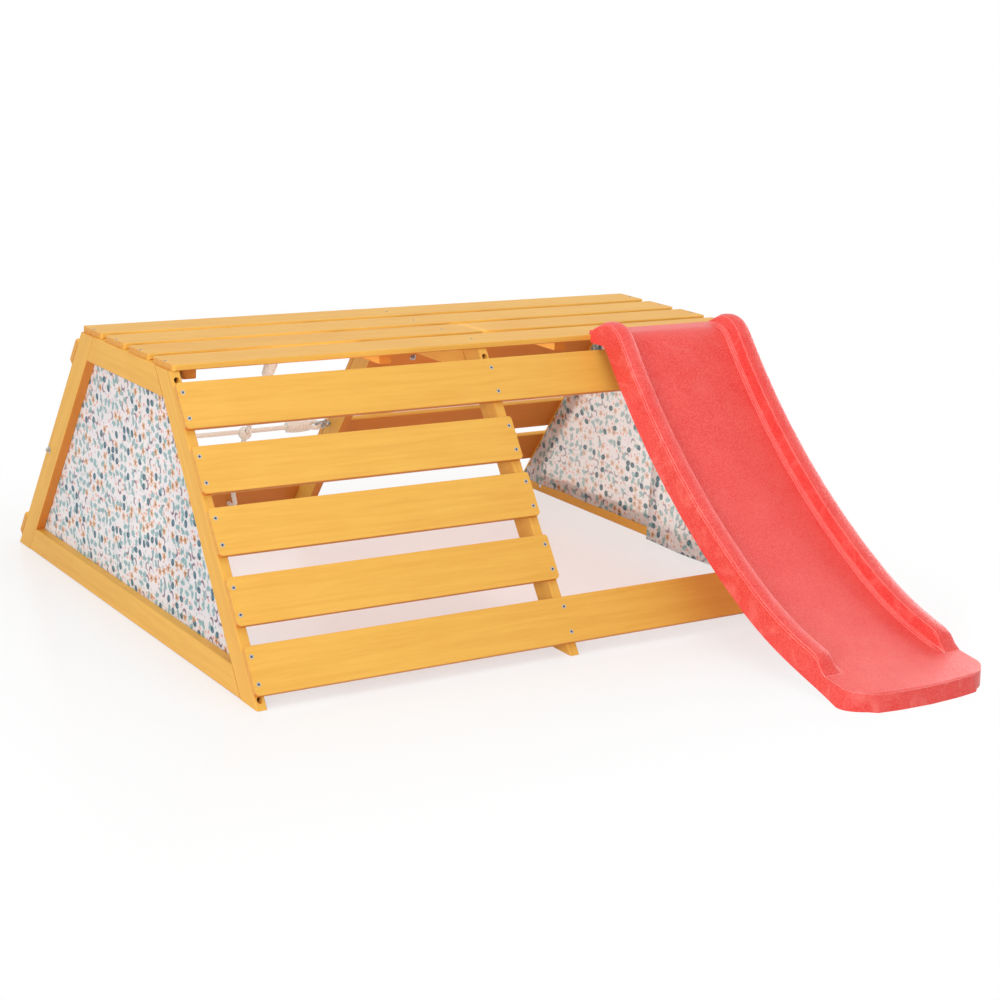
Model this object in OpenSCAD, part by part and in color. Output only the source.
// Toddler climbing gym: a slatted deck on three trapezoid frames, with a ladder and
// a hook-on slide on the front, a rope net and a wall of holds on the back, and cloth ends.
// Millimetres, +Z up. The origin lies on the floor, under the middle of the whole gym.

/* [Frames] */
// Length over the outer faces of the end frames
frame_len = 1440; // [1300:10:1600]
// Depth of a frame on the floor
base_depth = 1260; // [1180:2:1340]
// Depth of a frame under the deck
top_depth = 458; // [430:2:500]
// Height of a frame, up to the deck's underside
frame_h = 572; // [540:2:620]
// Thickness of the legs and rails, along the gym
leg_t = 22; // [20:1:28]
// Width of the legs and rails, in the plane of the frame
leg_w = 58; // [52:1:66]
// Place of the middle frame's left face
mid_x = 716; // [660:2:760]
// Rounding of the long edges of all timber
edge_r = 2.5; // [1:0.5:4]

/* [Boards] */
// Width of the ladder and wall boards
board_w = 99; // [92:1:102]
// Thickness of every board
board_t = 13; // [12:1:16]
// Rounding of the boards' corners
corner_r = 9; // [4:1:16]

/* [Ladder side] */
// Height up the slope of the lowest ladder slat
ladder_foot = 26; // [20:0.5:32]
// Step down the slope from the deck to the top ladder slat
ladder_top = 29.5; // [26:0.5:40]

/* [Deck] */
// Depth of the deck over its four slats
deck_depth = 466; // [450:2:490]
// Step from the end frames in to the deck's ends
deck_inset = 5; // [0:1:10]
// Width of a cross cleat under the deck
cleat_w = 29; // [24:1:36]
// Height of a cross cleat
cleat_h = 22; // [18:1:24]
// Step from the gym's end in to the first cleat
cleat_end = 36; // [34:1:60]
// Step from the deck's edge in to a cleat's end
cleat_inset = 21; // [12:1:30]

/* [Climbing wall] */
// Step down the slope from the deck to the top board of the wall and the net
wall_top = 31.5; // [28:0.5:42]
// Width of a climbing hold
hold_w = 112; // [90:2:130]
// Height of a climbing hold
hold_h = 108; // [90:2:120]
// Depth of a climbing hold
hold_d = 42; // [32:1:50]

/* [Rope net] */
// Height up the slope of the net's bottom board
net_foot = 22; // [18:1:28]
// Width of the two boards that hold the net
net_board_w = 72; // [64:1:76]
// Step up the slope between a net board and the next wall board
board_step = 4.5; // [2:0.5:8]
// Diameter of the net's rope
rope_d = 12; // [10:0.5:13]
// Diameter of the whipping at a rope's eye
whip_d = 30; // [26:1:32]
// Length of the whipping at a rope's eye
whip_l = 58; // [44:1:64]

/* [Cloth ends] */
// Thickness of the cloth
cloth_t = 1.2; // [0.8:0.1:2]
// Hem height of the fixed cloth
hem_z = 25; // [16:1:40]
// Depth of the folds in the hanging cloth
fold_d = 9; // [4:0.5:14]

/* [Slide] */
// Width of the slide over its side rails
slide_w = 370; // [340:2:390]
// Step from the gym's right end in to the slide's edge
slide_end = 56; // [46:1:80]
// Thickness of the moulded wall
slide_wall = 4.5; // [3.5:0.5:5]
// Height of a side rail over the bed
rail_h = 32; // [26:1:38]
// Width of a side rail
rail_w = 54; // [46:1:62]
// Depth of the outer wall below the bed
skirt_h = 27; // [22:1:30]
// Overlap of the slide on the deck
slide_lap = 8; // [6:0.5:12]
// Height of the lip at the foot
lip_h = 37; // [32:1:42]
// Length of the tray at the foot
tray_l = 60; // [58:1:80]
// Corner radius of the tray
tray_r = 54; // [40:1:56]
// Radius where the bed rolls over the deck's edge
roll_r = 60; // [54:1:68]
// Radius of the lower run of the bed
lower_r = 760; // [680:10:840]

/* [Fasteners] */
// Shank diameter of the wood screws
screw_d = 4; // [3.5:0.1:4.5]
// Head diameter of the wood screws
screw_head_d = 9; // [7.5:0.1:10]
// Length of the board screws
screw_l = 34; // [28:1:36]
// Step from a board's edge in to its screws
screw_edge = 22; // [16:1:30]
// Shank diameter of the frame bolts
bolt_d = 6; // [5:0.5:7]
// Head diameter of the frame bolts
bolt_head_d = 10; // [9:0.5:11]
// Diameter of the counterbore over a bolt's head
bolt_well_d = 12; // [11.5:0.5:13]
// Height of the bolts in the bottom rails
bolt_low_z = 17; // [15:1:24]
// Depth of the top rails' bolts below the deck
bolt_drop = 17; // [15:1:28]
// Diameter of the barrel nuts
barrel_d = 10; // [9:0.5:11]
// Thread diameter of the eye bolts and the hold bolts
eye_d = 6; // [5:0.5:7]

/* [Hidden] */
$fn = 40;

// Overrun of every cut
over = 2;
// Play round a fastener in its hole
fit = 0.15;
// Play between parts that rest on each other
seat = 0.3;

// The slope of the frames: s runs up a leg from the floor, n stands out from its face
lean = atan((base_depth - top_depth) / 2 / frame_h);
slant = frame_h / cos(lean);
leg_run = leg_w / cos(lean);
deck_top = frame_h + board_t;
right_x = frame_len - leg_t;
frame_xs = [0, mid_x, right_x];

// Ladder slats, lowest first; the gaps differ a little, as they do on the real ladder
ladder_count = 5;
ladder_gap_shares = [1.06, 1.16, 0.79, 0.99];
ladder_gap = (slant - ladder_top - ladder_foot - ladder_count * board_w) / (ladder_count - 1);
function shares_below(i) = i == 0 ? 0 : shares_below(i - 1) + ladder_gap_shares[i - 1];
function ladder_s(i) = ladder_foot + i * board_w + ladder_gap * shares_below(i);
function is_long_slat(i) = i == 0 || i == ladder_count - 1;
function ladder_len(i) = is_long_slat(i) ? frame_len : mid_x + leg_t;
function ladder_xs(i) = is_long_slat(i) ? frame_xs : [0, mid_x];

// Wall boards, lowest first, and the two boards of the net bay
wall_count = 4;
wall_foot = net_foot + net_board_w + board_step;
net_top_s = slant - wall_top - net_board_w;
wall_gap = (net_top_s - board_step - wall_foot - wall_count * board_w) / (wall_count - 1);
function wall_s(i) = wall_foot + i * (board_w + wall_gap);
net_len = mid_x + leg_t;
wall_len = frame_len - mid_x;

// Deck slats, front first, and the cleats below them; a gap is a share of a slat's width
deck_count = 4;
deck_gap_share = 0.23569;
deck_w = deck_depth / (deck_count + (deck_count - 1) * deck_gap_share);
function deck_y(i) = -deck_depth / 2 + i * deck_w * (1 + deck_gap_share);
cleat_count = 4;
cleat_pitch = (frame_len - 2 * cleat_end - cleat_w) / (cleat_count - 1);
function cleat_x(i) = cleat_end + i * cleat_pitch;
cleat_screw_l = 30;
deck_screw_l = 25;
screw_head_h = 3;
screw_sink = 0.2;

// Frame bolts: the head sits in a well in the leg, the end in a barrel nut in the rail
bolt_top_z = frame_h - bolt_drop;
bolt_head_h = 6;
bolt_well_h = 20;
bolt_end = 42;
barrel_in = 28;
barrel_l = 17;
function leg_face_y(z) = base_depth / 2 - z * tan(lean);
function rail_end_y(z) = leg_face_y(z) - leg_run;
// Each bolt: frame's face, side along Y, height, and the side of the rail that takes the nut
bolt_places = [for (f = [0:2]) for (side = [-1, 1]) for (z = f == 1 ? [bolt_top_z] : [bolt_low_z, bolt_top_z])
    [frame_xs[f], side, z, f == 2 ? 0 : leg_t - barrel_l]];

// Climbing holds: share of the wall bay's length, and the board that carries each
hold_x_shares = [0.565, 0.216, 0.565, 0.219];
function hold_x(i) = mid_x + leg_t / 2 + hold_x_shares[i] * (frame_len - leg_t / 2 - mid_x);
function hold_s(i) = wall_s(i) + board_w / 2;
hold_head_d = 12;
hold_head_h = 6;
hold_web = 12;
washer_d = 16;
washer_h = 1.5;
nut_d = 11;
nut_h = 5;
thread_end = 2;

// Net hardware: an eye bolt, a shackle through its ring, and a whipped rope eye on the shackle
ring_r = 8;
ring_wire = 2.5;
collar_h = 2;
ring_stand = ring_r + ring_wire + collar_h;
pin_r = 2.5;
shackle_half = 9.5;
shackle_leg = 13.5;
pin_head = 2.5;
pin_x = ring_r - ring_wire - pin_r - seat;
bow_x = pin_x + shackle_leg + shackle_half;
eye_r = 10;
eye_gap = eye_r - rope_d / 2 - pin_r - seat;
eye_x = bow_x + eye_gap;
drop_stand = eye_r + rope_d / 2 + 2 * seat;
eye_side = rope_d / 2 + seat;
whip_x = eye_x + 2 * eye_r + seat;
rope_x = whip_x + whip_l;
net_in = 13;
net_n = -net_in;
net_s = 338;
drop_eye_share = 0.65;
drop_eye_s = net_top_s + drop_eye_share * net_board_w;
drop_hole_s = net_foot + net_board_w / 2;
drop_x_shares = [1 / 3, 2 / 3];
function drop_x(i) = leg_t + (mid_x - leg_t) * drop_x_shares[i];
clip_r = 16;
clip_play = 0.4;
knot_r = 13;
knot_share = 1.1;
whip_end_share = 0.88;
whip_steps = 8;
rope_sides = 12;
turn_r = 26;
turn_steps = 6;
eye_steps = 10;
// Drop ropes pass inside the cross rope, sag inwards and stray sideways towards the bottom board
drop_n = net_n - rope_d - clip_play;
sag_in = 30;
sway = 44;
sway_shares = [-0.05, 0.12, 0.52, 0.86];
sway_s_shares = [0.84, 0.54, 0.22, 0.06];
function drop_side(i) = i == 0 ? -1 : 1;

// Cloth: the left panel is stretched inside its frame, the right curtains overlap at a slit
cloth_edge = 7;
cloth_top = 8;
left_cloth_edge = 24;
curtain_lap = 28;
curtain_stand = 20;
curtain_top_share = 0.5;
curtain_floor = 2;
curtain_us = 20;
curtain_vs = 12;
rear_folds = 3;
front_folds = 2;

// Slide: the bed's path in the YZ plane, from the deck over a roll and two arcs to the tray
steep_a = 52.5;
mid_a = 29;
tray_a = 6;
roll_gap = 37;
lap_skirt = 9;
hook_t = 4;
step_l = 0.3;
dome_l = 90;
dome_gap = 11;
rail_end_l = 118;
rail_round_l = 45;
flare = 3;
toe = 8;
lip_bow = 22;
slide_x = frame_len - slide_end - slide_w / 2;
deck_front = -deck_depth / 2;
rear_y = deck_front + slide_lap;
bed_top = deck_top + seat + lap_skirt;
hook_h = bed_top - frame_h;
hook_y = deck_front - seat;
roll_y = deck_front - roll_gap;
upper_y = roll_y - roll_r * sin(steep_a);
upper_z = bed_top - roll_r * (1 - cos(steep_a));
tray_z = lip_h + tray_l * tan(tray_a);
lower_z = tray_z + lower_r * (cos(tray_a) - cos(mid_a));
upper_r = (upper_z - lower_z) / (cos(mid_a) - cos(steep_a));
lower_y = upper_y - upper_r * (sin(steep_a) - sin(mid_a));
tray_y = lower_y - lower_r * (sin(mid_a) - sin(tray_a));
lip_y = tray_y - tray_l;
slide_front = lip_y - toe;
flat_steps = 3;
roll_steps = 7;
run_steps = 8;
foot_steps = 20;
end_steps = 6;

// Share of a rail's width and of its height at the points of its rounded section
rail_u_shares = [0, 0.02, 0.075, 0.185, 0.405, 0.61, 0.705, 0.76, 0.805, 0.85, 0.925, 1];
rail_v_shares = [0.45, 0.75, 0.89, 0.97, 1, 0.97, 0.89, 0.75, 0.31, 0.16, 0.125, 0];
// Outward direction of the section at those points
rail_nu_shares = [1, 0.97, 0.7, 0.2, 0, -0.2, -0.6, -0.85, -0.95, -0.7, -0.35, 0];
rail_nv_shares = [0, 0.25, 0.7, 0.98, 1, 0.98, 0.8, 0.5, 0.3, 0.7, 0.95, 1];
bed_u_shares = [0.94, 0, -0.94];

// Middle of the gym in plan, with the nut that stands out on the left
nut_stack = washer_h + nut_h + thread_end;
centre_x = (frame_len - nut_stack) / 2;
centre_y = (base_depth / 2 + slide_front) / 2;

// Stands a sub-part in the gym's frame
module placed() {
    translate([-centre_x, -centre_y, 0]) children();
}

// Local x along the gym, y up the slope, z out of the front or the back of the legs
module on_front() {
    translate([0, -base_depth / 2, 0]) rotate([90 - lean, 0, 0]) children();
}
module on_back() {
    mirror([0, 1, 0]) on_front() children();
}
module on_side(side) {
    if (side < 0) on_front() children();
    else on_back() children();
}

// Flat rectangle with round corners
module round_rect(w, h, r) {
    translate([r, 0]) square([w - 2 * r, h]);
    translate([0, r]) square([w, h - 2 * r]);
    for (x = [r, w - r]) for (y = [r, h - r]) translate([x, y]) circle(r);
}

// Timber bar along x with eased long edges
module eased_bar(len, wid, thick) {
    rotate([90, 0, 90]) linear_extrude(len) round_rect(wid, thick, edge_r);
}

// Board lying flat, with eased edges and round corners
module board_blank(len, wid) {
    intersection() {
        eased_bar(len, wid, board_t);
        linear_extrude(board_t) round_rect(len, wid, corner_r);
    }
}

// Countersunk wood screw, its head up at z = 0; play widens it into its own hole
module screw(len, play) {
    top = play > 0 ? over : -screw_sink;
    r_head = screw_head_d / 2 + play;
    r_shank = screw_d / 2 + play;
    translate([0, 0, -screw_sink]) {
        if (play > 0) cylinder(h = top + screw_sink, r = r_head);
        translate([0, 0, -screw_head_h]) cylinder(h = screw_head_h, r1 = r_shank, r2 = r_head);
        translate([0, 0, -len - play]) cylinder(h = len - screw_head_h + play, r = r_shank);
    }
}

// The two screws that hold a board to each leg
module board_screw_row(xs, s, wid, play) {
    for (x = xs) for (e = [screw_edge, wid - screw_edge])
        translate([x + leg_t / 2, s + e, board_t]) screw(screw_l, play);
}
module ladder_screws(xs, play) {
    on_front() for (i = [0:ladder_count - 1])
        board_screw_row([for (x = ladder_xs(i)) for (own = xs) if (x == own) x], ladder_s(i), board_w, play);
}
module back_screws(xs, play) {
    on_back() for (x = xs) {
        if (x > 0) for (i = [0:wall_count - 1]) board_screw_row([x], wall_s(i), board_w, play);
        if (x < right_x) for (s = [net_foot, net_top_s]) board_screw_row([x], s, net_board_w, play);
    }
}

// One screw through each deck slat into each frame
module deck_screw_row(i, xs, play) {
    for (x = xs) translate([x + leg_t / 2, deck_y(i) + deck_w / 2, deck_top]) screw(deck_screw_l, play);
}

// One screw up through each cleat into each deck slat
module cleat_screw(i, j, play) {
    translate([cleat_x(i) + cleat_w / 2, deck_y(j) + deck_w / 2, frame_h - cleat_h])
        rotate([180, 0, 0]) screw(cleat_screw_l, play);
}

// Cap-head bolt along +y from the bottom of its well; play widens it into its own hole
module frame_bolt(play) {
    rotate([-90, 0, 0]) {
        cylinder(h = leg_run - bolt_well_h + bolt_end + play, r = bolt_d / 2 + play);
        if (play > 0) {
            mirror([0, 0, 1]) cylinder(h = leg_run, r = bolt_well_d / 2);
        } else {
            mirror([0, 0, 1]) difference() {
                cylinder(h = bolt_head_h, r = bolt_head_d / 2);
                translate([0, 0, bolt_head_h / 2])
                    cylinder(h = bolt_head_h / 2 + over, r = bolt_d / 2 - fit, $fn = 6);
            }
        }
    }
}
module at_bolt(b) {
    mirror([0, b[1] > 0 ? 1 : 0, 0])
        translate([b[0] + leg_t / 2, -leg_face_y(b[2]) + bolt_well_h, b[2]]) children();
}
module frame_bolt_holes(x) {
    for (b = bolt_places) if (b[0] == x) at_bolt(b) frame_bolt(fit);
}

// Barrel nut across a rail, with the hole that its bolt screws into
module barrel_nut(b, play) {
    at_bolt(b) translate([b[3] - leg_t / 2, leg_run - bolt_well_h + barrel_in, 0]) rotate([0, 90, 0])
        cylinder(h = barrel_l, r = barrel_d / 2 + play);
}
module barrel_nut_holes(x) {
    for (b = bolt_places) if (b[0] == x) {
        barrel_nut(b, fit);
        far_face = b[3] == 0 ? -over : b[3] + over;
        at_bolt([b[0], b[1], b[2]])
            translate([far_face - leg_t / 2, leg_run - bolt_well_h + barrel_in, 0]) rotate([0, 90, 0])
                cylinder(h = barrel_l, r = barrel_d / 2 + fit);
    }
}

// Eye-bolt holes through the two back legs that carry the cross rope
module eye_leg_holes() {
    on_back() for (x = [0, mid_x]) translate([x - over, net_s, net_n]) rotate([0, 90, 0])
        cylinder(h = leg_t + 2 * over, r = eye_d / 2 + fit);
}

// Slanted leg, cut level on the floor and under the deck
module leg(x, side) {
    color("sandybrown") placed() difference() {
        intersection() {
            on_side(side) translate([x, -leg_w, 0]) rotate([-90, 0, 0])
                linear_extrude(slant + 2 * leg_w) round_rect(leg_t, leg_w, edge_r);
            translate([x - over, -base_depth, 0]) cube([leg_t + 2 * over, 2 * base_depth, frame_h]);
        }
        if (side < 0) ladder_screws([x], fit);
        else back_screws([x], fit);
        frame_bolt_holes(x);
        deck_screw_row(side < 0 ? 0 : deck_count - 1, [x], fit);
        if (side > 0) eye_leg_holes();
    }
}

// Rail between the two legs of a frame, its ends cut to the legs' slope
module rail(x, z) {
    color("sandybrown") placed() difference() {
        intersection() {
            translate([x + leg_t, -base_depth / 2, z]) rotate([0, 0, 90]) eased_bar(base_depth, leg_t, leg_w);
            translate([x - over, 0, 0]) rotate([90, 0, 90]) linear_extrude(leg_t + 2 * over) polygon([
                [-rail_end_y(0), 0], [rail_end_y(0), 0],
                [rail_end_y(frame_h), frame_h], [-rail_end_y(frame_h), frame_h]]);
        }
        frame_bolt_holes(x);
        barrel_nut_holes(x);
        if (z > 0) for (i = [0:deck_count - 1]) deck_screw_row(i, [x], fit);
    }
}

module deck_slat(i) {
    color("goldenrod") placed() difference() {
        translate([deck_inset, deck_y(i), frame_h]) board_blank(frame_len - 2 * deck_inset, deck_w);
        deck_screw_row(i, frame_xs, fit);
        for (c = [0:cleat_count - 1]) cleat_screw(c, i, fit);
    }
}

module deck_cleat(i) {
    color("chocolate") placed() difference() {
        translate([cleat_x(i) + cleat_w, -deck_depth / 2 + cleat_inset, frame_h - cleat_h])
            rotate([0, 0, 90]) eased_bar(deck_depth - 2 * cleat_inset, cleat_w, cleat_h);
        for (j = [0:deck_count - 1]) cleat_screw(i, j, fit);
    }
}

module ladder_slat(i) {
    color("goldenrod") placed() difference() {
        on_front() translate([0, ladder_s(i), 0]) board_blank(ladder_len(i), board_w);
        on_front() board_screw_row(ladder_xs(i), ladder_s(i), board_w, fit);
    }
}

module wall_board(i) {
    color("peru") placed() on_back() difference() {
        translate([mid_x, wall_s(i), 0]) board_blank(wall_len, board_w);
        board_screw_row([mid_x, right_x], wall_s(i), board_w, fit);
        translate([hold_x(i), hold_s(i), -over]) cylinder(h = board_t + 2 * over, r = eye_d / 2 + fit);
    }
}

module net_top_board() {
    color("peru") placed() on_back() difference() {
        translate([0, net_top_s, 0]) board_blank(net_len, net_board_w);
        board_screw_row([0, mid_x], net_top_s, net_board_w, fit);
        for (i = [0, 1]) translate([drop_x(i), drop_eye_s, -over])
            cylinder(h = board_t + 2 * over, r = eye_d / 2 + fit);
    }
}

module net_bottom_board() {
    color("peru") placed() on_back() difference() {
        translate([0, net_foot, 0]) board_blank(net_len, net_board_w);
        board_screw_row([0, mid_x], net_foot, net_board_w, fit);
        for (i = [0, 1]) translate([drop_x(i) + drop_side(i) * sway, drop_hole_s, -over])
            cylinder(h = board_t + 2 * over, r = rope_d / 2 + seat);
    }
}

// Moulded hold: a lopsided pebble with a broad upper lobe, flat on the board
module climbing_hold(i) {
    lobe = hold_h / 4;
    color("gold") placed() on_back() translate([hold_x(i), hold_s(i), board_t]) difference() {
        hull() {
            translate([-hold_w / 2 + lobe, lobe / 2, 0]) sphere(lobe, $fn = 24);
            translate([hold_w / 2 - lobe, lobe / 2, 0]) sphere(lobe, $fn = 24);
            translate([0, hold_h / 2 - lobe, hold_d - lobe]) sphere(lobe, $fn = 24);
            translate([0, -hold_h / 2 + lobe, 0]) sphere(lobe, $fn = 24);
        }
        translate([-hold_w, -hold_h, -hold_d]) cube([2 * hold_w, 2 * hold_h, hold_d]);
        translate([0, 0, -over]) cylinder(h = hold_d + 2 * over, r = eye_d / 2 + fit);
        translate([0, 0, hold_web]) cylinder(h = hold_d, r = hold_head_d / 2 + fit);
    }
}

module hold_bolts() {
    shank = hold_web + board_t + washer_h + nut_h + thread_end;
    color("silver") placed() on_back() for (i = [0:wall_count - 1])
        translate([hold_x(i), hold_s(i), board_t + hold_web]) {
            translate([0, 0, -shank]) cylinder(h = shank, r = eye_d / 2);
            difference() {
                cylinder(h = hold_head_h, r = hold_head_d / 2);
                translate([0, 0, hold_head_h / 2]) cylinder(h = hold_head_h, r = eye_d / 2 - fit, $fn = 6);
            }
        }
}

// Washer and hexagon nut, flat on z = 0
module nut_and_washer() {
    difference() {
        union() {
            cylinder(h = washer_h, r = washer_d / 2);
            cylinder(h = washer_h + nut_h, r = nut_d / 2, $fn = 6);
        }
        translate([0, 0, -over]) cylinder(h = washer_h + nut_h + 2 * over, r = eye_d / 2 + fit);
    }
}

module hold_nuts() {
    color("silver") placed() on_back() for (i = [0:wall_count - 1])
        translate([hold_x(i), hold_s(i), 0]) mirror([0, 0, 1]) nut_and_washer();
}

// Stands a rope's end fitting with its ring at the origin, pulled along +x, ring's axis along y
module cross_ends() {
    on_back() {
        translate([leg_t + ring_stand, net_s, net_n]) children();
        translate([mid_x - ring_stand, net_s, net_n]) mirror([1, 0, 0]) children();
    }
}
module drop_ends() {
    on_back() for (i = [0, 1])
        translate([drop_x(i), drop_eye_s, -drop_stand]) rotate([0, 0, -90]) children();
}

// Ring and collar of an eye bolt, with its shank along -x
module eye_bolt(stand, grip) {
    shank = stand + grip + nut_stack;
    rotate([90, 0, 0]) rotate_extrude() translate([ring_r, 0]) circle(ring_wire, $fn = 24);
    rotate([0, -90, 0]) {
        translate([0, 0, ring_r]) cylinder(h = shank - ring_r, r = eye_d / 2);
        translate([0, 0, stand - collar_h]) cylinder(h = collar_h, r = eye_d);
    }
}

module eye_bolts() {
    color("silver") placed() {
        cross_ends() eye_bolt(ring_stand, leg_t);
        drop_ends() rotate([0, 90, 0]) eye_bolt(drop_stand, board_t);
    }
}

module eye_bolt_nuts() {
    color("silver") placed() on_back() {
        translate([0, net_s, net_n]) rotate([0, -90, 0]) nut_and_washer();
        translate([mid_x + leg_t, net_s, net_n]) rotate([0, 90, 0]) nut_and_washer();
        for (i = [0, 1]) translate([drop_x(i), drop_eye_s, board_t]) nut_and_washer();
    }
}

// Shackle: a pin through the eye bolt's ring and a bow that the rope's eye goes round
module shackle() {
    pin_l = 2 * (shackle_half + pin_r + pin_head);
    translate([pin_x, -pin_l / 2, 0]) rotate([-90, 0, 0]) cylinder(h = pin_l, r = pin_r);
    for (side = [-1, 1]) translate([pin_x, side * shackle_half, 0]) {
        translate([pin_r + seat, 0, 0]) rotate([0, 90, 0]) cylinder(h = shackle_leg - pin_r - seat, r = pin_r);
        translate([0, -pin_r - seat, 0]) rotate([-90, 0, 0]) cylinder(h = 2 * (pin_r + seat), r = 2 * pin_r - seat);
    }
    translate([pin_x + shackle_leg, 0, 0]) rotate([0, 0, -90])
        rotate_extrude(angle = 180) translate([shackle_half, 0]) circle(pin_r, $fn = 24);
}

module shackles() {
    color("silver") placed() {
        cross_ends() shackle();
        drop_ends() shackle();
    }
}

// Whipping over a rope's splice, as a barrel
module whipping() {
    r_end = whip_d / 2 * whip_end_share;
    translate([whip_x, 0, 0]) rotate([0, 90, 0]) rotate_extrude() polygon(concat(
        [[0, 0]],
        [for (k = [0:whip_steps]) let (t = k / whip_steps)
            [r_end + (whip_d / 2 - r_end) * sin(180 * t), whip_l * t]],
        [[0, whip_l]]));
}
module rope_whippings() {
    color("linen") placed() {
        cross_ends() whipping();
        drop_ends() whipping();
    }
}

// Round tube swept along points; side_dir stays square to the route
function unit(v) = v / norm(v);
function route_dir(p, i) = unit(p[min(i + 1, len(p) - 1)] - p[max(i - 1, 0)]);
function tube_ring(p, i, r, side_dir) =
    let (t = route_dir(p, i), a = unit(cross(t, side_dir)), b = cross(a, t))
    [for (k = [0:rope_sides - 1]) let (w = 360 * k / rope_sides) p[i] + r * (cos(w) * a + sin(w) * b)];
module tube(p, r, side_dir) {
    count = len(p);
    points = [for (i = [0:count - 1]) each tube_ring(p, i, r, side_dir)];
    faces = concat(
        [for (i = [0:count - 2]) for (k = [0:rope_sides - 1])
            let (a = i * rope_sides + k, b = i * rope_sides + (k + 1) % rope_sides) each
            [[a, b, a + rope_sides], [b, b + rope_sides, a + rope_sides]]],
        [for (k = [1:rope_sides - 2]) [0, k + 1, k]],
        [for (k = [1:rope_sides - 2]) let (e = (count - 1) * rope_sides) [e, e + k, e + k + 1]]);
    polyhedron(points, faces);
}

// Rope's eye round the shackle's bow, both ends on the whipping's face
module rope_eye() {
    tube(concat(
        [[whip_x, 0, eye_side], [whip_x - eye_r / 2, 0, eye_side]],
        [for (k = [0:eye_steps]) let (w = 90 + 180 * k / eye_steps) [eye_x + eye_r * cos(w), 0, eye_r * sin(w)]],
        [[whip_x - eye_r / 2, 0, -eye_side], [whip_x, 0, -eye_side]]), rope_d / 2, [0, 1, 0]);
}

// Cross rope between its two whippings
module net_cross_rope() {
    x0 = leg_t + ring_stand + rope_x;
    x1 = mid_x - ring_stand - rope_x;
    color("linen") placed() {
        on_back() tube([[x0, net_s, net_n], [x1, net_s, net_n]], rope_d / 2, [0, 1, 0]);
        cross_ends() rope_eye();
    }
}

// Drop rope from its whipping past the cross rope, in behind the bottom board and out through it
module net_drop_rope(i) {
    s0 = drop_eye_s - rope_x;
    s_turn = drop_hole_s + turn_r;
    side = drop_side(i);
    hang = net_s - clip_r - s_turn;
    route = concat(
        [[0, s0, -drop_stand], [0, s0 - rope_d, -drop_stand]],
        [[0, net_s + clip_r, drop_n], [0, net_s - clip_r, drop_n]],
        [for (k = [0:3]) [side * sway * sway_shares[k], s_turn + hang * sway_s_shares[k],
            k < 3 ? -sag_in : -turn_r]],
        [for (k = [0:turn_steps]) let (w = 90 * k / turn_steps)
            [side * sway, s_turn - turn_r * sin(w), -turn_r * cos(w)]],
        [[side * sway, drop_hole_s, board_t]]);
    color("linen") placed() on_back() translate([drop_x(i), 0, 0]) {
        tube(route, rope_d / 2, [1, 0, 0]);
        translate([side * sway, drop_hole_s, board_t + knot_r]) intersection() {
            sphere(knot_r * knot_share);
            translate([0, 0, -knot_r]) cylinder(h = 2 * knot_r, r = 2 * knot_r);
        }
        translate([0, drop_eye_s, -drop_stand]) rotate([0, 0, -90]) rope_eye();
    }
}

// Clip that holds a drop rope to the cross rope, with a hole for each
module net_clips() {
    hole_r = rope_d / 2 + clip_play;
    color("linen") placed() on_back() for (i = [0, 1])
        translate([drop_x(i), net_s, (net_n + drop_n) / 2]) difference() {
            sphere(clip_r);
            translate([-clip_r, 0, (net_n - drop_n) / 2]) rotate([0, 90, 0]) cylinder(h = 2 * clip_r, r = hole_r);
            translate([0, -clip_r, (drop_n - net_n) / 2]) rotate([-90, 0, 0]) cylinder(h = 2 * clip_r, r = hole_r);
        }
}

// Left end: one panel of cloth stretched over the inner faces of its frame
module left_cloth() {
    in_run = left_cloth_edge / cos(lean);
    z1 = frame_h - cloth_top;
    color("whitesmoke") placed() translate([leg_t, 0, 0]) rotate([90, 0, 90]) linear_extrude(cloth_t) polygon([
        [-leg_face_y(hem_z) + in_run, hem_z], [leg_face_y(hem_z) - in_run, hem_z],
        [leg_face_y(z1) - in_run, z1], [-leg_face_y(z1) + in_run, z1]]);
}

// Closed shell between two equal grids of points, the first of them on its outer side
module shell(outer, inner) {
    rows = len(outer);
    cols = len(outer[0]);
    function at(layer, j, i) = (layer * rows + j) * cols + i;
    function quad(a, b, c, d) = [[a, b, c], [a, c, d]];
    faces = concat(
        [for (j = [0:rows - 2]) for (i = [0:cols - 2]) each
            quad(at(0, j, i), at(0, j, i + 1), at(0, j + 1, i + 1), at(0, j + 1, i))],
        [for (j = [0:rows - 2]) for (i = [0:cols - 2]) each
            quad(at(1, j, i), at(1, j + 1, i), at(1, j + 1, i + 1), at(1, j, i + 1))],
        [for (i = [0:cols - 2]) each quad(at(0, 0, i), at(1, 0, i), at(1, 0, i + 1), at(0, 0, i + 1))],
        [for (i = [0:cols - 2]) let (a = at(0, rows - 1, i), b = at(0, rows - 1, i + 1),
            c = at(1, rows - 1, i + 1), d = at(1, rows - 1, i))
            each 2 * i < cols - 1 ? quad(b, c, d, a) : quad(a, b, c, d)],
        [for (j = [0:rows - 2]) each quad(at(0, j, 0), at(0, j + 1, 0), at(1, j + 1, 0), at(1, j, 0))],
        [for (j = [0:rows - 2]) each
            quad(at(0, j, cols - 1), at(1, j, cols - 1), at(1, j + 1, cols - 1), at(0, j + 1, cols - 1))]);
    polyhedron(concat([for (row = outer) each row], [for (row = inner) each row]), faces);
}

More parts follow.
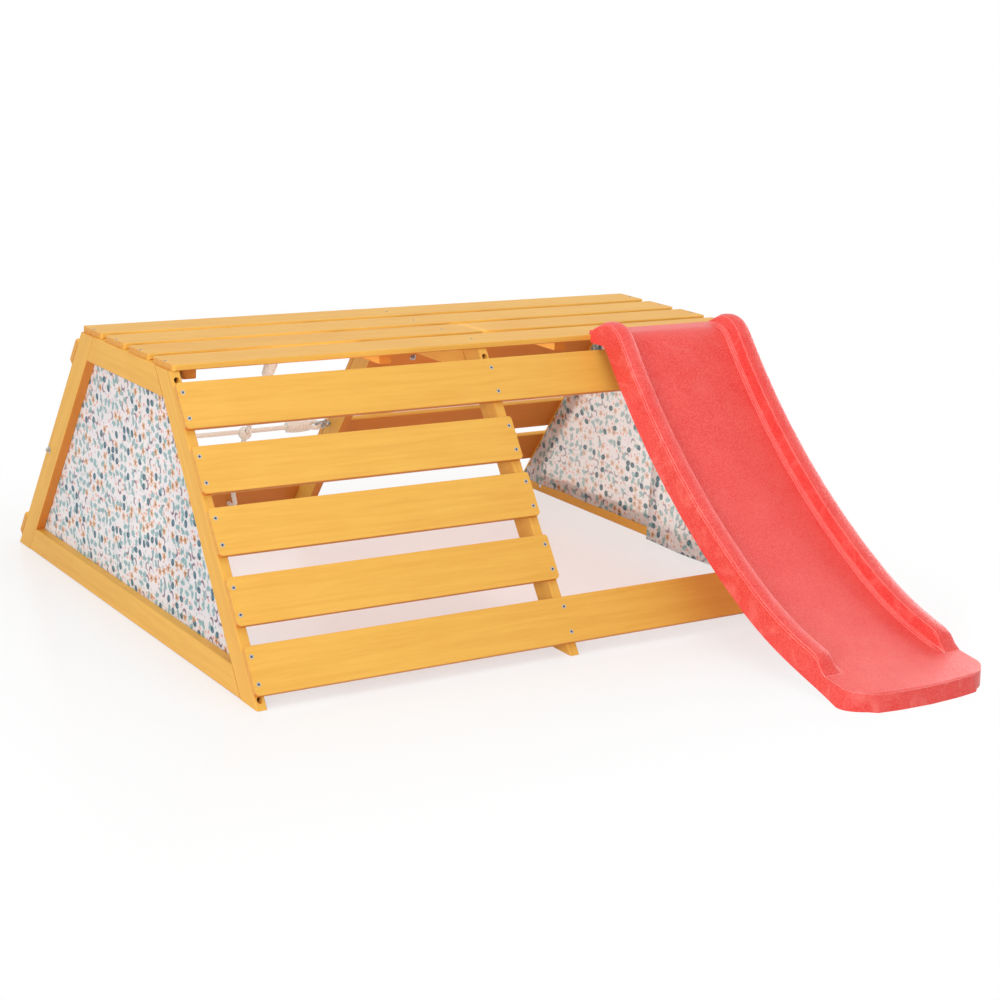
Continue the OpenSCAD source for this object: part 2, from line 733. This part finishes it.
// Right end: a hanging curtain from a leg to the slit, with folds that deepen towards its hem
function curtain_z(v, hem) = frame_h - cloth_top - v * (frame_h - cloth_top - hem);
function curtain_y(u, z, side, slit) = (1 - u) * side * (leg_face_y(z) - cloth_edge / cos(lean)) + u * slit;
function curtain_fold(u, v, folds, free) = fold_d * v * v * (1 - cos(360 * folds * u)) / 2 * (1 - free * u);
module curtain(side, slit, hem, folds, free, stand) {
    function layer(off) = [for (j = [0:curtain_vs]) [for (k = [0:curtain_us])
        let (i = side > 0 ? k : curtain_us - k, u = i / curtain_us, v = j / curtain_vs, z = curtain_z(v, hem),
            out = stand * u * (curtain_top_share + (1 - curtain_top_share) * v))
        [right_x - seat - out - curtain_fold(u, v, folds, free) - off, curtain_y(u, z, side, slit), z]]];
    color("whitesmoke") placed() shell(layer(0), layer(cloth_t));
}

// Moulded slide: a shell swept along the bed, with rounded rails, a hook rib and a closed lip
// Each station: y, z, slope, half width, rail height, skirt depth, bed depth, rail depth, drop of the edge,
// bow of the lip and reach of its foot
function rear_rail(y) = let (d = max(0, rear_y - dome_gap - y))
    d < dome_l ? rail_h * sqrt(max(0, 1 - pow((dome_l - d) / dome_l, 2))) : rail_h;
function foot_rail(d) = d > rail_end_l + rail_round_l ? rail_h
    : d < rail_end_l ? 0 : rail_h * sqrt(1 - pow((rail_end_l + rail_round_l - d) / rail_round_l, 2));
function half_width(d) = slide_w / 2 - (d < tray_r ? tray_r - sqrt(pow(tray_r, 2) - pow(tray_r - d, 2)) : 0);
function flat_station(y, skirt, depth) =
    [y, bed_top, 0, slide_w / 2, rear_rail(y), skirt, depth, slide_wall, 0, 0, 0];
function foot_station(a) =
    let (t = (mid_a - a) / (mid_a - tray_a), y = lower_y - lower_r * (sin(mid_a) - sin(a)))
    [y, tray_z + lower_r * (cos(tray_a) - cos(a)), a, slide_w / 2, foot_rail(y - lip_y),
        skirt_h + (tray_z / cos(tray_a) - skirt_h) * pow(t, 5), slide_wall, slide_wall, 0, 0, 0];
function tray_station(d, solid, drop, reach) =
    let (z = lip_h + d * tan(tray_a), depth = solid ? z : slide_wall)
    [lip_y + d, z, 0, half_width(d), foot_rail(d), z, depth, depth, drop, lip_bow * (1 - d / tray_l), reach];
stations = concat(
    [for (k = [0:flat_steps]) flat_station(rear_y - (slide_lap + seat - step_l) * sin(90 * k / flat_steps),
        lap_skirt, slide_wall)],
    [flat_station(hook_y, skirt_h, hook_h), flat_station(hook_y - hook_t, skirt_h, hook_h)],
    [flat_station(hook_y - hook_t - step_l, skirt_h, slide_wall)],
    [for (k = [0:roll_steps - 1]) let (a = steep_a * k / roll_steps, y = roll_y - roll_r * sin(a))
        [y, bed_top - roll_r * (1 - cos(a)), a, slide_w / 2, rear_rail(y), skirt_h, slide_wall, slide_wall, 0, 0, 0]],
    [for (k = [0:run_steps - 1]) let (a = steep_a + (mid_a - steep_a) * k / run_steps)
        [upper_y - upper_r * (sin(steep_a) - sin(a)), upper_z - upper_r * (cos(a) - cos(steep_a)), a,
            slide_w / 2, rail_h, skirt_h, slide_wall, slide_wall, 0, 0, 0]],
    [for (k = [0:foot_steps]) foot_station(mid_a + (tray_a - mid_a) * k / foot_steps)],
    [for (k = [0:end_steps]) tray_station(slide_wall + step_l
        + (tray_r - slide_wall - step_l) * (1 - sin(90 * k / end_steps)), false, 0, 0)],
    [tray_station(slide_wall, true, 0, 0), tray_station(slide_wall / 2, true, slide_wall / 8, 0)],
    [tray_station(0, true, slide_wall / 2, toe)]);

// Half of a station's section, from the foot of the outer wall to the bed: outer side, then inner side
function outer_half(st) = concat([[st[3] + flare, -st[5]]],
    [for (k = [0:len(rail_u_shares) - 1])
        [st[3] - rail_u_shares[k] * rail_w, st[4] * rail_v_shares[k] - st[8]]],
    [[bed_u_shares[0] * (st[3] - rail_w), -st[8]]]);
function inner_half(st) = let (f = st[4] / rail_h) concat([[st[3] + flare - slide_wall, -st[5]]],
    [for (k = [0:len(rail_u_shares) - 1])
        [st[3] - f * (rail_u_shares[k] * rail_w + slide_wall * rail_nu_shares[k])
            - (1 - f) * (slide_wall + rail_u_shares[k] * (rail_w - slide_wall)),
        st[4] * rail_v_shares[k] - st[7] * (f * rail_nv_shares[k] + 1 - f)]],
    [[bed_u_shares[0] * (st[3] - rail_w), -st[6]]]);
function whole(half, mid) = concat([for (p = half) [-p[0], p[1]]], [mid],
    [for (k = [len(half) - 1:-1:0]) half[k]]);
function on_bed(st, ps) = [for (p = ps) let (bow = st[9] * pow(2 * p[0] / slide_w, 2))
    [slide_x + p[0], st[0] - p[1] * sin(st[2]) + bow + st[10] * min(0, p[1]) / st[5],
        st[1] + p[1] * cos(st[2])]];
module slide() {
    color("tomato") placed() shell(
        [for (st = stations) on_bed(st, whole(outer_half(st), [0, -st[8]]))],
        [for (st = stations) on_bed(st, whole(inner_half(st), [0, -st[6]]))]);
}

module board_screws() {
    color("silver") placed() {
        ladder_screws(frame_xs, 0);
        back_screws(frame_xs, 0);
    }
}

module deck_screws() {
    color("silver") placed() for (i = [0:deck_count - 1]) deck_screw_row(i, frame_xs, 0);
}

module cleat_screws() {
    color("silver") placed() for (i = [0:cleat_count - 1]) for (j = [0:deck_count - 1]) cleat_screw(i, j, 0);
}

module frame_bolts() {
    color("dimgray") placed() for (b = bolt_places) at_bolt(b) frame_bolt(0);
}

module barrel_nuts() {
    color("silver") placed() for (b = bolt_places) difference() {
        barrel_nut(b, 0);
        at_bolt(b) frame_bolt(fit);
    }
}

leg(0, -1);  // left_front_leg
leg(0, 1);  // left_back_leg
rail(0, frame_h - leg_w);  // left_top_rail
rail(0, 0);  // left_bottom_rail
leg(mid_x, -1);  // mid_front_leg
leg(mid_x, 1);  // mid_back_leg
rail(mid_x, frame_h - leg_w);  // mid_top_rail
leg(right_x, -1);  // right_front_leg
leg(right_x, 1);  // right_back_leg
rail(right_x, frame_h - leg_w);  // right_top_rail
rail(right_x, 0);  // right_bottom_rail
for (i = [0:deck_count - 1]) deck_slat(i);
for (i = [0:cleat_count - 1]) deck_cleat(i);
for (i = [0:ladder_count - 1]) ladder_slat(i);
for (i = [0:wall_count - 1]) wall_board(i);
net_top_board();
net_bottom_board();
for (i = [0:wall_count - 1]) climbing_hold(i);
net_cross_rope();
for (i = [0, 1]) net_drop_rope(i);
rope_whippings();
net_clips();
eye_bolts();
eye_bolt_nuts();
shackles();
left_cloth();
curtain(1, -curtain_lap / 2, hem_z, rear_folds, 1, 0);  // right_rear_curtain
curtain(-1, curtain_lap / 2, curtain_floor, front_folds, 0, curtain_stand);  // right_front_curtain
slide();
board_screws();
deck_screws();
cleat_screws();
frame_bolts();
barrel_nuts();
hold_bolts();
hold_nuts();
